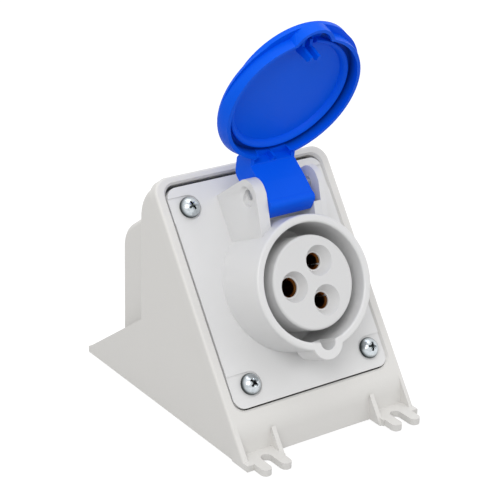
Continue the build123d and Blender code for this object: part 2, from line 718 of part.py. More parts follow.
export_step(lid.part, "parts/lid.step")

# Seal ring in the lid, which closes on the collar's rim
with BuildPart() as lid_seal:
    turned(lid_plane, [
        (rib_outer + 0.05, lid_floor), (rib_outer + 0.05, lip_overlap + seal_squeeze_gap + 0.5),
        (rib_outer + 0.5, lip_overlap + seal_squeeze_gap), (seal_radius - 0.5, lip_overlap + seal_squeeze_gap),
        (seal_radius, lip_overlap + seal_squeeze_gap + 0.5), (seal_radius, lid_floor)])
lid_seal.part.label = "lid_seal"
export_step(lid_seal.part, "parts/lid_seal.step")

# Lid spring: coil round the pin, with a short end that stands off it
coil_radius = pin_radius + spring_play + spring_wire / 2
with BuildPart() as spring_blank:
    with BuildLine():
        coil = Helix(pitch=spring_pitch, height=spring_turns * spring_pitch, radius=coil_radius)
    with BuildSketch(Plane(coil @ 0, z_dir=coil % 0)):
        Circle(spring_wire / 2)
    sweep(path=coil, is_frenet=True)
    with BuildSketch(Plane(coil @ 0, z_dir=-(coil % 0))):
        Circle(spring_wire / 2)
    extrude(amount=spring_leg)
coil_start = Plane((-spring_turns * spring_pitch / 2, hinge_y, hinge_z), x_dir=(0, cos_tilt, sin_tilt), z_dir=(1, 0, 0))
with BuildPart() as lid_spring:
    with Locations(coil_start):
        add(spring_blank.part)
lid_spring.part.label = "lid_spring"
export_step(lid_spring.part, "parts/lid_spring.step")

# Grommet in the rear cable entry
entry_plane = Plane((0, front_line + rear_rear, entry_height), x_dir=(1, 0, 0), z_dir=(0, 1, 0))
with BuildPart() as cable_grommet:
    turned(entry_plane, [
        (0, grommet_nose), (3.4, grommet_nose), (3.8, grommet_nose - 1.6), (6.2, grommet_nose - 1.6),
        (6.8, grommet_flange_thickness), (grommet_flange - 0.6, grommet_flange_thickness), (grommet_flange, 1.2),
        (grommet_flange, 0), (entry_radius - fit_gap, 0), (entry_radius - fit_gap, -wall),
        (entry_radius + grommet_lip, -wall), (entry_radius + 0.4, -wall - 1.6), (6.0, -wall - 1.6),
        (5.2, grommet_nose - 3.2), (0, grommet_nose - 3.2)])
cable_grommet.part.label = "cable_grommet"
export_step(cable_grommet.part, "parts/cable_grommet.step")
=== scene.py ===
"""Looks of a surface mounted pin and sleeve receptacle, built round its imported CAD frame."""
import math

import bmesh
import bpy
from mathutils import Matrix, Vector


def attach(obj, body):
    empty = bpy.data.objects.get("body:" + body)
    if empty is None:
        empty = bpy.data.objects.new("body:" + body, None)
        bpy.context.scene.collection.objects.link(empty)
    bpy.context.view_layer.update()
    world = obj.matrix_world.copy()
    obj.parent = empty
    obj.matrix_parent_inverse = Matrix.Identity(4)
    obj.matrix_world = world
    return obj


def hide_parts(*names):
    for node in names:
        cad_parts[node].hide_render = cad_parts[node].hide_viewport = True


bl_info = {
    "name": "Inclined receptacle looks",
    "version": (1, 0, 0),
    "blender": (4, 5, 0),
    "location": "View3D > Sidebar > Receptacle",
    "description": "Finishes, refined mouldings, screws and studio of a wall box with an inclined receptacle",
    "category": "Object",
}

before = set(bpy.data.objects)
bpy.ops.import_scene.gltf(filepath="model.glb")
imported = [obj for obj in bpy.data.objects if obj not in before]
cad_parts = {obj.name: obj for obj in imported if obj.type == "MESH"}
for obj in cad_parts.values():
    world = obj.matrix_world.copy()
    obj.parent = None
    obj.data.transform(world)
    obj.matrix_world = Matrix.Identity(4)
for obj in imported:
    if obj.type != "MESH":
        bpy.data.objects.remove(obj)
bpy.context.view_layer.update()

MM = 0.001

# The frames that the pieces are modelled in, as the CAD's source gives them, in millimetres and radians
BASE_DEPTH = 116.4
PANEL_TILT = math.radians(54.43)
COLLAR_TILT = PANEL_TILT + math.radians(10.74)
COLLAR_HEIGHT, COLLAR_RISE = 58.84, 22.57
HINGE_HEIGHT, HINGE_RISE = 97.5, 19.0
LIP_OVERLAP = 3.0
OPEN_ANGLE = math.radians(-131.0)


def framed(middle, tilt):
    """Matrix from millimetres in a frame tilted about X to metres: X across, Y up and Z out of its face."""
    return Matrix.Translation(middle) @ Matrix.Rotation(tilt, 4, "X") @ Matrix.Scale(MM, 4)


def arc(across, up, radius, turn, steps=10):
    """Outline points round a middle, from straight above it to a turn in radians."""
    return [(across + radius * math.sin(turn * step / steps), up + radius * math.cos(turn * step / steps))
            for step in range(steps + 1)]


PANEL = framed(Vector((0, -BASE_DEPTH / 2, 0)) * MM, PANEL_TILT)
COLLAR = framed(PANEL @ Vector((0, COLLAR_HEIGHT, COLLAR_RISE)), COLLAR_TILT)
HINGE = PANEL @ Vector((0, HINGE_HEIGHT, HINGE_RISE))
OPENED = Matrix.Translation(HINGE) @ Matrix.Rotation(OPEN_ANGLE, 4, "X") @ Matrix.Translation(-HINGE)
LID_ON_COLLAR = Matrix.Translation((0, 0, -LIP_OVERLAP))
LID = OPENED @ COLLAR @ LID_ON_COLLAR
COLLAR_ON_PANEL = PANEL.inverted() @ COLLAR
COLLAR_MIDDLE = COLLAR.translation
COLLAR_OUT = COLLAR.col[2].xyz.normalized()
ACROSS = Vector((1, 0, 0))

# A cutter that would end on a face of the CAD goes past it by one or two of these, so that none coincide
CLEAR = 0.01

# Opening of the housing, flared at its lip, and the fold where its frame turns down to the front wall
OPENING_LOW, OPENING_HIGH = (-36.81, 21.61), (36.81, 111.47)
OPENING_DEPTH = 1.0
OPENING_ROUNDING = 5.0
OPENING_FLARE = 0.8
FOLD_HEIGHT, FOLD_TURN, FOLD_RADIUS = 14.1, math.radians(27.6), 16.0
FOLD_REACH = FOLD_RADIUS * math.tan(FOLD_TURN / 2)
FOLD_HALF_WIDTH = 39.0
FOLD_OUTLINE = arc(FOLD_HEIGHT + FOLD_REACH, -FOLD_RADIUS, FOLD_RADIUS, -FOLD_TURN) + [
    (FOLD_HEIGHT, 1), (FOLD_HEIGHT + FOLD_REACH, 1)]

# Plate of the front panel: its trimmed outline, the height of its face, and what trims the CAD's edges
PLATE_LOW, PLATE_HIGH = (-36.45, 22.15), (36.55, 110.1)
PLATE_ROUNDING = 4.6
PLATE_RECESS = 1.0
PLATE_FACE = -0.3
BORDER_LOW, BORDER_HIGH = (-45, 10, -4.5), (45, 120, 0.5)

# Screws of the front panel: place across and up, and the turn of each one's recess in degrees
SCREW_PLACES = ((-28.4, 101.4), (28.72, 101.55), (-27.3, 30.43), (29.7, 30.43))
SCREW_TURNS = (22, 68, 40, 75)
POCKET_HALF = 4.9
POCKET_DEPTH = 0.35
POCKET_FLOOR = PLATE_FACE - POCKET_DEPTH
CHANNEL_END = 37.59

# One screw, standing on the origin: the head's edge, the ridged shank and the cross recess with its ticks,
# and how far its painted shade in the recess and its painted dark reflection at the rim reach
HEAD_SIDE = 0.6
HEAD_CHAMFER = 0.15
SHANK_RADIUS = 1.95
THREAD_TURNS, THREAD_PITCH, THREAD_DEPTH = 9, 1.4, 0.45
THREAD_CREST, THREAD_ROOT = -1.6, -2.3
SHANK_TIP = [(1.2, -14.4), (0, -15)]
RECESS_TOP, RECESS_BOTTOM, RECESS_DEPTH, RECESS_HALF = 2.25, 0.8, 1.7, 0.46
TICK_REACH, TICK_HALF, TICK_DEPTH = 1.75, 0.13, 0.42
SHADED_RECESS_SHARE = 0.6
RIM_REFLECTION_FALL = 7

# Collar: its bore, the bump over its key and the groove in it, each with its place
COLLAR_BORE = 22.75
COLLAR_DEPTH = 20
KEY_LENGTH = 12
KEY_BUMP = 7.0
BUMP_BEVEL = 0.25
BUMP_PLACE = (-0.4, -22.8, 0)
KEY_GROOVE_RADIUS, KEY_GROOVE_LENGTH = 3.4, 10.5
KEY_GROOVE_PLACE = (-0.3, -22.7, 0)

# Hinge pin, and the wide mouth of its hole in the left ear
PIN_RADIUS = 2.2
PIN_ENDS = (-12.45, 15.9)
PIN_EDGE = 0.3
MOUTH_PROFILE = [(0, -13.3), (3.3, -13.3), (3.4, -14.7), (4.6, -15.3), (4.8, -16.2), (0, -16.2)]
MOUTH_DROP = 1.3

# Right hinge ear: its outline with a rounded corner, its sides, and the part of the CAD ear that it replaces
EAR_OUTLINE = [(81.93, -1.7), (81.93, 21.03), (95.5, 25.87)] + arc(97.52, 19.82, 6.04, math.pi / 2, 9) + [
    (103.56, -1.7)]
EAR_SIDES = (13.84, 16.4)
OLD_EAR_LOW, OLD_EAR_HIGH = (10.3, 88.7, PLATE_FACE - 0.03), (14.6, 104.6, 27)
PIN_HOLE_ENDS = (13, 17)
PIN_HOLE_PLAY = 0.03

# Foot that closes the left ear's front
EAR_FOOT_OUTLINE = [(79.3, -1.7), (79.3, 20.07), (82.2, 21.12), (82.2, -1.7)]
EAR_FOOT_SIDES = (-15.31, -10.43)

# Lid: its floor, the tapering groove below the tab's flange, and what keeps that off the bulge and the hinge
LID_FLOOR = 5.2
DISH_RADIUS = 24.5
GROOVE_PROFILE = [(30.4, -1), (36, -1), (36, 4.25), (30.6, 4.25)]
GROOVE_SHIFT = 2.2
BULGE_RADIUS, BULGE_PLACE = 9.6, -23.4
HINGE_SIDE_LOW, HINGE_SIDE_HIGH = (-40, 6, -3), (40, 45, 8)

# Lid: the two pockets above the knuckle with a rib between them, the catch's prongs and the tail
POCKET_PLACES = ((-8.6, -0.55), (0.55, 8.6))
POCKET_FRONT, POCKET_BACK, POCKET_TOP = 26.5, 29.8, 3.6
CATCH_OUTLINE = [(-25.5, 5.7), (-25.5, 3.8), (-23.2, 3.0), (-23.0, -3.0), (-21.2, -3.0), (-20.4, -1.5),
                 (-19.6, 5.7)]
CATCH_PLACES = ((-2.9, -1.7), (0.6, 1.8))
PIN_PLACE = (COLLAR @ LID_ON_COLLAR).inverted() @ PANEL @ Vector((0, HINGE_HEIGHT, HINGE_RISE))
TAIL_OUTLINE = [(PIN_PLACE.y + out, PIN_PLACE.z + down) for out, down in (
    (-2.9, -7.7), (-2.7, -9.0), (-1.9, -9.9), (-0.8, -10.2), (3.6, -10.1), (4.3, -9.8), (4.65, -9.0),
    (4.7, -7.7))]
TAIL_HALF_WIDTH = 10.25

# Lid's seal: its half section and the gap in it at the key
SEAL_PROFILE = [(23.0, 5.2), (23.2, 4.6), (23.6, 3.9), (24.1, 3.35), (24.6, 3.1), (25.0, 3.05), (25.3, 3.15),
                (25.45, 3.4), (25.45, 5.2)]
SEAL_GAP_LOW, SEAL_GAP_HIGH = (-3.4, -27, 0), (3.4, -20, 8)

# Painted shade that darkens the gap round the seal, above a height and between two radii. The outer face gets
# this painted shade there too.
GAP_SHADE_HEIGHT = 4.5
GAP_SHADE_INSIDE, GAP_SHADE_OUTSIDE = 24.6, 27.6

# Colours of the metals and rubbers, each metal with the colour of its stains or its bloom, and the dark
# colour that paints shade and a dark reflection on the screws
ZINC, ZINC_BLOOM = [0.62, 0.66, 0.69], [0.50, 0.55, 0.58]
PAINTED_DARK = (0.05, 0.06, 0.06)
BRASS, BRASS_STAIN = [0.22, 0.09, 0.02], [0.12, 0.04, 0.01]
RING_STEEL, RING_STAIN = [0.55, 0.56, 0.58], [0.42, 0.43, 0.45]
PIN_STEEL, PIN_STAIN = [0.56, 0.57, 0.59], [0.42, 0.43, 0.45]
SPRING_STEEL, SPRING_STAIN = [0.50, 0.50, 0.51], [0.36, 0.36, 0.37]
GROMMET_RUBBER, GASKET_RUBBER, SEAL_RUBBER = [0.30, 0.30, 0.29], [0.07, 0.07, 0.068], [0.02, 0.02, 0.02]

# Camera, solved from the photograph: its angles, its target, and how far right, down and away that is seen
VIEW_AZIMUTH, VIEW_ELEVATION, VIEW_ROLL = math.radians(-35.84), math.radians(23.219), math.radians(-1.616)
VIEW_TARGET = Vector((0, -8.2, 40)) * MM
VIEW_OFFSET = Vector((4.421, 19.848, 658.418)) * MM
VIEW_LENS, VIEW_SENSOR = 119.84, 36

# Studio: the floor's half width and drop, its greys for light and for the camera, and the lamps
FLOOR_HALF, FLOOR_DROP = 6, 0.0002
FLOOR_GREY, FLOOR_SEEN_GREY, FLOOR_SEEN_GLOW = 0.5, 0.42, 0.66
WORLD_GLOW, WORLD_SEEN_GLOW = 0.80, 1.0
LAMPS = (
    ("key", (-0.95, -0.85, 1.15), 0.8, 9.5),
    ("fill", (1.2, -0.9, 0.7), 1.0, 2.0),
    ("top", (0.1, 0.2, 1.7), 1.2, 5.0),
)
LAMP_AIM = Vector((0, 0, 0.06))


def turn_to(axis):
    """Rotation that takes the Z axis to the given one."""
    return Vector((0, 0, 1)).rotation_difference(axis).to_euler()


class Wire:
    """Wraps a socket of a material, so that Python's operators add its Math nodes."""

    def __init__(self, finish, socket):
        self.finish = finish
        self.socket = socket

    def maths(self, operation, *values):
        return self.finish.node("ShaderNodeMath", {"operation": operation}, dict(enumerate(values)))

    def __add__(self, other):
        return self.maths("ADD", self, other)

    def __radd__(self, other):
        return self.maths("ADD", other, self)

    def __sub__(self, other):
        return self.maths("SUBTRACT", self, other)

    def __rsub__(self, other):
        return self.maths("SUBTRACT", other, self)

    def __mul__(self, other):
        return self.maths("MULTIPLY", self, other)

    def __rmul__(self, other):
        return self.maths("MULTIPLY", other, self)

    def clamped(self):
        return self.finish.node("ShaderNodeClamp", {}, {"Value": self})

    def above(self, low, high):
        """Rises smoothly from 0 to 1 between two values."""
        return self.finish.node("ShaderNodeMapRange", {"interpolation_type": "SMOOTHSTEP"},
                                {"Value": self, "From Min": low, "From Max": high})


class Finish:
    """A procedural material under construction."""

    def __init__(self, name):
        self.material = bpy.data.materials.new(name)
        self.material.use_nodes = True
        self.nodes = self.material.node_tree.nodes
        self.links = self.material.node_tree.links
        self.shader = self.nodes["Principled BSDF"]

    def node(self, kind, settings=None, values=None, output=0):
        """Adds a node, sets its settings, then fills its sockets, and returns one output."""
        made = self.nodes.new(kind)
        for key, value in (settings or {}).items():
            setattr(made, key, value)
        for key, value in (values or {}).items():
            self.fill(made.inputs[key], value)
        return Wire(self, made.outputs[output])

    def fill(self, socket, value):
        """Links a wire to a socket, or sets its value, with an alpha of 1 after a colour."""
        if isinstance(value, Wire):
            self.links.new(value.socket, socket)
        elif isinstance(value, (tuple, list, Vector)) and len(value) == 3 and len(socket.default_value) == 4:
            socket.default_value = (*value, 1)
        else:
            socket.default_value = value

    def set(self, **values):
        """Sets or links the shader's own sockets, given with underscores for spaces."""
        for key, value in values.items():
            self.fill(self.shader.inputs[key.replace("_", " ")], value)

    def coordinates(self, middle=(0, 0, 0), axis=None, stretch=(1, 1, 1)):
        """Object coordinates in metres about a middle, turned so that an axis becomes Z."""
        place = self.node("ShaderNodeTexCoord", output=3)
        if axis is None and stretch == (1, 1, 1):
            return place
        turn = turn_to(axis).to_matrix().inverted() if axis is not None else Matrix.Identity(3)
        turned = self.node("ShaderNodeMapping", {}, {
            "Vector": place, "Location": -(turn @ Vector(middle)), "Rotation": turn.to_euler()})
        return self.node("ShaderNodeMapping", {}, {"Vector": turned, "Scale": stretch})

    def noise(self, place, size, detail=2.0, roughness=0.5):
        """Noise from 0 to 1 whose features are about a size in millimetres."""
        return self.node("ShaderNodeTexNoise", {}, {
            "Vector": place, "Scale": 1 / (size * MM), "Detail": detail, "Roughness": roughness})

    def streaks(self, axis, stretch, size, detail):
        """Noise drawn out along an axis."""
        place = self.coordinates(axis=Vector(axis).normalized(), stretch=(1, 1, stretch))
        return self.noise(place, size, detail)

    def cells(self, place, size):
        """Distance to scattered points about a size in millimetres apart."""
        return self.node("ShaderNodeTexVoronoi", {"feature": "F1"}, {
            "Vector": place, "Scale": 1 / (size * MM)})

    def attribute(self, name):
        """A value that a mesh's own attribute gives."""
        return self.node("ShaderNodeAttribute", {"attribute_name": name}, output=2)

    def mix(self, share, first, second):
        """Colour between two, by a share from 0 to 1."""
        return self.node("ShaderNodeMix", {"data_type": "RGBA"}, {0: share, 6: first, 7: second}, output=2)

    def tinted(self, share, colour, by):
        """A colour that a share pulls lighter or darker by a small factor."""
        return self.mix(share, [c * (1 - by) for c in colour], [min(1.0, c * (1 + by)) for c in colour])

    def bump(self, height, depth, over=None):
        """Normal from a height of 0 to 1 that stands for a depth in millimetres."""
        values = {"Height": height, "Distance": depth * MM, "Strength": 1.0}
        if over is not None:
            values["Normal"] = over
        return self.node("ShaderNodeBump", {}, values)


def dress(node, finish):
    """Gives a CAD node the finish in its material slots."""
    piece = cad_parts[node]
    for place in range(len(piece.material_slots)):
        piece.material_slots[place].material = finish.material
    if not piece.material_slots:
        piece.data.materials.append(finish.material)


def moulded_finish(name, colour, roughness, grain, grain_depth):
    """Injection moulded plastic: a fine mould grain, slow flow clouds and a few light rubs."""
    finish = Finish(name)
    place = finish.coordinates()
    clouds = finish.noise(place, 24, 3)
    fine = finish.noise(place, grain, 3, 0.6)
    pits = finish.cells(place, grain * 1.7)
    rubs = finish.streaks((0.3, 0.9, 0.2), 0.06, 1.1, 2)
    rubbed = rubs.above(0.62, 0.78) * clouds.above(0.45, 0.7)
    finish.set(
        Base_Color=finish.tinted(clouds * 0.7 + fine * 0.3, colour, 0.018),
        Roughness=roughness + (fine - 0.5) * 0.10 + (clouds - 0.5) * 0.06 - rubbed * 0.05,
        Normal=finish.bump(pits * 0.6 + fine * 0.4, grain_depth),
        IOR=1.5)
    return finish


def glossy_finish(name, colour, roughness, shade=None):
    """Polished moulding: shallow flow waves and hairline scratches, and painted shade that darkens it where a
    mesh's own shade says.
    """
    finish = Finish(name)
    place = finish.coordinates()
    waves = finish.noise(place, 9, 2)
    ripple = finish.noise(place, 1.6, 2)
    scratched = finish.streaks((0.7, 0.2, 0.6), 0.03, 0.5, 1).above(0.68, 0.74)
    plastic = finish.tinted(waves * 0.8 + ripple * 0.2, colour, 0.03)
    if shade:
        # Painted shade: the colour darkens towards a quarter of itself where the shade is set
        depth = finish.attribute(shade).above(0.0, 1.0)
        plastic = finish.mix(depth * 0.75, plastic, [c * 0.25 for c in colour])
    finish.set(
        Base_Color=plastic,
        Roughness=roughness + (waves - 0.5) * 0.08 + scratched * 0.10,
        Normal=finish.bump(waves * 0.7 + ripple * 0.3, 0.03, over=finish.bump(scratched, -0.004)),
        Specular_IOR_Level=0.09)
    return finish


def rubber_finish(name, colour):
    """Soft moulded rubber with a dusty bloom."""
    finish = Finish(name)
    place = finish.coordinates()
    bloom = finish.noise(place, 6, 4, 0.6)
    speck = finish.noise(place, 0.35, 2)
    finish.set(
        Base_Color=finish.mix(bloom.above(0.5, 0.8) * 0.35, colour, [c + 0.06 for c in colour]),
        Roughness=0.72 + (bloom - 0.5) * 0.2,
        Normal=finish.bump(speck, 0.02))
    return finish


def turned_finish(name, colour, stain, roughness, middle, axis, pitch):
    """Metal turned on a lathe: fine rings about an axis, with slow stains."""
    finish = Finish(name)
    along = finish.coordinates(middle, axis)
    rings = finish.node("ShaderNodeTexWave", {"wave_type": "BANDS", "bands_direction": "Z"}, {
        "Vector": along, "Scale": 1 / (pitch * MM * 20), "Distortion": 0.6, "Detail": 2.0})
    stains = finish.noise(along, 2.4, 4, 0.6)
    finish.set(
        Base_Color=finish.mix(stains.above(0.35, 0.75), colour, stain),
        Metallic=1.0,
        Roughness=roughness + (stains - 0.5) * 0.16,
        Normal=finish.bump(rings, 0.006))
    return finish


def plated_finish(name, roughness, shade=None):
    """Zinc plate: a fine crystalline bloom, a faint tint, and painted shade and painted dark reflection where
    a mesh's own shade says.
    """
    finish = Finish(name)
    place = finish.coordinates()
    bloom = finish.noise(place, 1.3, 4, 0.65)
    crystals = finish.cells(place, 0.22)
    plate = finish.mix(bloom.above(0.35, 0.7), ZINC, ZINC_BLOOM)
    if shade:
        # Painted shade and painted dark reflection: the plate darkens where the mesh's shade is set
        plate = finish.mix(finish.attribute(shade).above(0.1, 1.0), plate, PAINTED_DARK)
    finish.set(
        Base_Color=plate,
        Metallic=1.0,
        Roughness=roughness + (bloom - 0.5) * 0.14 + (crystals - 0.5) * 0.05,
        Normal=finish.bump(crystals, 0.006))
    return finish


def mesh_of(bm, name):
    """Mesh from a bmesh, with its doubles merged and its faces turned outwards."""
    bmesh.ops.remove_doubles(bm, verts=bm.verts, dist=0.0005)
    bmesh.ops.recalc_face_normals(bm, faces=bm.faces)
    mesh = bpy.data.meshes.new(name)
    bm.to_mesh(mesh)
    bm.free()
    return mesh


def lathed(name, profile, steps=96):
    """Solid of revolution about Z from radius and height pairs, closed on the axis or round a ring."""
    bm = bmesh.new()
    verts = [bm.verts.new((radius, 0, height)) for radius, height in profile]
    edges = [bm.edges.new(pair) for pair in zip(verts, verts[1:])]
    if profile[0][0] > 0:
        edges.append(bm.edges.new((verts[-1], verts[0])))
    bmesh.ops.spin(bm, geom=verts + edges, cent=(0, 0, 0), axis=(0, 0, 1), angle=2 * math.pi, steps=steps,
                   use_merge=True)
    return mesh_of(bm, name)


def drum(name, radius, bottom, top):
    """Round solid about Z between two heights."""
    return lathed(name, [(0, bottom), (radius, bottom), (radius, top), (0, top)])


def slab(name, outline, low, high):
    """Prism along X, from an outline in Y and Z, between two places."""
    bm = bmesh.new()
    face = bm.faces.new([bm.verts.new((low, *point)) for point in outline])
    grown = bmesh.ops.extrude_face_region(bm, geom=[face])["geom"]
    far = [v for v in grown if isinstance(v, bmesh.types.BMVert)]
    bmesh.ops.translate(bm, vec=(high - low, 0, 0), verts=far)
    return mesh_of(bm, name)


def box_between(low, high):
    """Bmesh of a box between two corners."""
    bm = bmesh.new()
    bmesh.ops.create_cube(bm, size=1)
    for v in bm.verts:
        v.co = [low[i] + (v.co[i] + 0.5) * (high[i] - low[i]) for i in range(3)]
    return bm


def block(name, low, high):
    """Box between two corners."""
    return mesh_of(box_between(low, high), name)


def rounded_block(name, low, high, radius, flare=0.0):
    """Box between two corners with its upright edges rounded, and its top spread outwards by a flare."""
    bm = box_between(low, high)
    upright = [e for e in bm.edges if abs(e.verts[0].co.z - e.verts[1].co.z) > 0.001]
    bmesh.ops.bevel(bm, geom=upright, offset=radius, segments=12, affect="EDGES", profile=0.5, material=-1)
    middle = [(low[i] + high[i]) / 2 for i in range(2)]
    for v in bm.verts:
        if flare and v.co.z > high[2] - 0.001:
            for i in range(2):
                v.co[i] += (v.co[i] - middle[i]) * flare / ((high[i] - low[i]) / 2)
    return mesh_of(bm, name)


def rod(name, radius, low, high, middle=(0, 0)):
    """Round bar along X about a middle in the two other axes."""
    bm = bmesh.new()
    bmesh.ops.create_cone(bm, cap_ends=True, segments=48, radius1=radius, radius2=radius, depth=high - low)
    bmesh.ops.rotate(bm, cent=(0, 0, 0), matrix=Matrix.Rotation(math.pi / 2, 3, "Y"), verts=bm.verts)
    bmesh.ops.translate(bm, vec=((low + high) / 2, *middle), verts=bm.verts)
    return mesh_of(bm, name)


def moved(mesh, place):
    """The mesh itself, after a move."""
    mesh.transform(Matrix.Translation(place))
    return mesh


def merged_copy(node, place):
    """Copy of a CAD node's mesh in a frame's millimetres, with its doubles merged."""
    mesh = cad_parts[node].data.copy()
    mesh.transform(place.inverted())
    mesh.materials.clear()
    if "custom_normal" in mesh.attributes:
        mesh.attributes.remove(mesh.attributes["custom_normal"])
    bm = bmesh.new()
    bm.from_mesh(mesh)
    bmesh.ops.remove_doubles(bm, verts=bm.verts, dist=0.001)
    bm.to_mesh(mesh)
    bm.free()
    return mesh


def combined(mesh, changes):
    """The mesh after each change in turn: a pair of what is done, such as DIFFERENCE, and the other mesh."""
    blank = bpy.data.objects.new("blank", mesh)
    bpy.context.scene.collection.objects.link(blank)
    others = []
    for operation, other in changes:
        tool = bpy.data.objects.new("tool", other)
        bpy.context.scene.collection.objects.link(tool)
        change = blank.modifiers.new("change", "BOOLEAN")
        change.object = tool
        change.operation = operation
        change.solver = "EXACT"
        others.append(tool)
    bpy.context.view_layer.update()
    done = bpy.data.meshes.new_from_object(blank.evaluated_get(bpy.context.evaluated_depsgraph_get()))
    for used in [blank, *others]:
        bpy.data.objects.remove(used)
    return done


def without(mesh, *cutters):
    """The mesh after each cutter in turn is taken from it."""
    return combined(mesh, [("DIFFERENCE", cutter) for cutter in cutters])


def shade_by(mesh, value_at):
    """Stores a painted shade from 0 to 1 at each point, from a function of its radius and height."""
    shade = mesh.attributes.new("shade", "FLOAT", "POINT")
    for v in mesh.vertices:
        shade.data[v.index].value = value_at(math.hypot(v.co.x, v.co.y), v.co.z)


def finished_piece(name, mesh, place, finish, body, replaced, smooth_angle=30, edge=0.0):
    """Object at the origin whose mesh holds its place, on a body, with its sharp edges softened if asked."""
    mesh.transform(place)
    mesh.materials.clear()
    mesh.materials.append(finish.material)
    mesh.polygons.foreach_set("material_index", [0] * len(mesh.polygons))
    mesh.polygons.foreach_set("use_smooth", [True] * len(mesh.polygons))
    mesh.set_sharp_from_angle(angle=math.radians(smooth_angle))
    piece = bpy.data.objects.new(name, mesh)
    bpy.context.scene.collection.objects.link(piece)
    if edge:
        soft = piece.modifiers.new("soft edges", "BEVEL")
        soft.width = edge * MM
        soft.segments = 2
        soft.limit_method = "ANGLE"
        soft.angle_limit = math.radians(40)
        soft.harden_normals = True
    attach(piece, body)
    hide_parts(*replaced)
    return piece


class ReceptacleColours(bpy.types.PropertyGroup):
    """Colours of the mouldings."""

    housing: bpy.props.FloatVectorProperty(
        name="Housing", description="Warm light grey of the wall box", subtype="COLOR", size=3,
        default=(0.67, 0.66, 0.64))
    panel: bpy.props.FloatVectorProperty(
        name="Front panel", description="Light grey of the panel and its collar", subtype="COLOR", size=3,
        default=(0.68, 0.68, 0.68))
    carrier: bpy.props.FloatVectorProperty(
        name="Carrier", description="Light grey of the contact carrier", subtype="COLOR", size=3,
        default=(0.64, 0.64, 0.64))
    lid: bpy.props.FloatVectorProperty(
        name="Lid", description="Blue of the lid and its hinge knuckle", subtype="COLOR", size=3,
        default=(0.0, 0.098, 0.78))
    seal: bpy.props.FloatVectorProperty(
        name="Seal", description="Blue of the lid's sealing ring", subtype="COLOR", size=3,
        default=(0.0, 0.098, 0.78))


class ReceptacleSizes(bpy.types.PropertyGroup):
    """Sizes of the screws, and the strength of the lamps."""

    head_radius: bpy.props.FloatProperty(
        name="Screw head radius", description="Radius of the panel screws' heads", unit="LENGTH",
        default=4.2 * MM)
    head_height: bpy.props.FloatProperty(
        name="Screw head height", description="Height of the panel screws' heads", unit="LENGTH",
        default=3.4 * MM)
    lamp_power: bpy.props.FloatProperty(
        name="Lamp factor", description="Factor on the power of every lamp", default=1.0, min=0)


class RECEPTACLE_OT_housing(bpy.types.Operator):
    """Flares the wall box's opening, rounds its fold, and finishes it with its grommet and gasket"""

    bl_idname = "receptacle.housing"
    bl_label = "Housing"

    def execute(self, context):
        colours = context.scene.receptacle_colours
        grain = moulded_finish("housing_grain", list(colours.housing), roughness=0.50, grain=0.38,
                               grain_depth=0.02)
        lip = rounded_block("lip", (*OPENING_LOW, -OPENING_DEPTH), (*OPENING_HIGH, 2 * CLEAR),
                            OPENING_ROUNDING, OPENING_FLARE)
        fold = slab("fold", FOLD_OUTLINE, -FOLD_HALF_WIDTH, FOLD_HALF_WIDTH)
        mesh = without(merged_copy("housing", PANEL), lip, fold)
        finished_piece("housing_moulding", mesh, PANEL, grain, "box", ("housing",),
                       smooth_angle=24)
        dress("cable_grommet", rubber_finish("grommet_rubber", GROMMET_RUBBER))
        dress("panel_gasket", rubber_finish("gasket_rubber", GASKET_RUBBER))
        return {"FINISHED"}


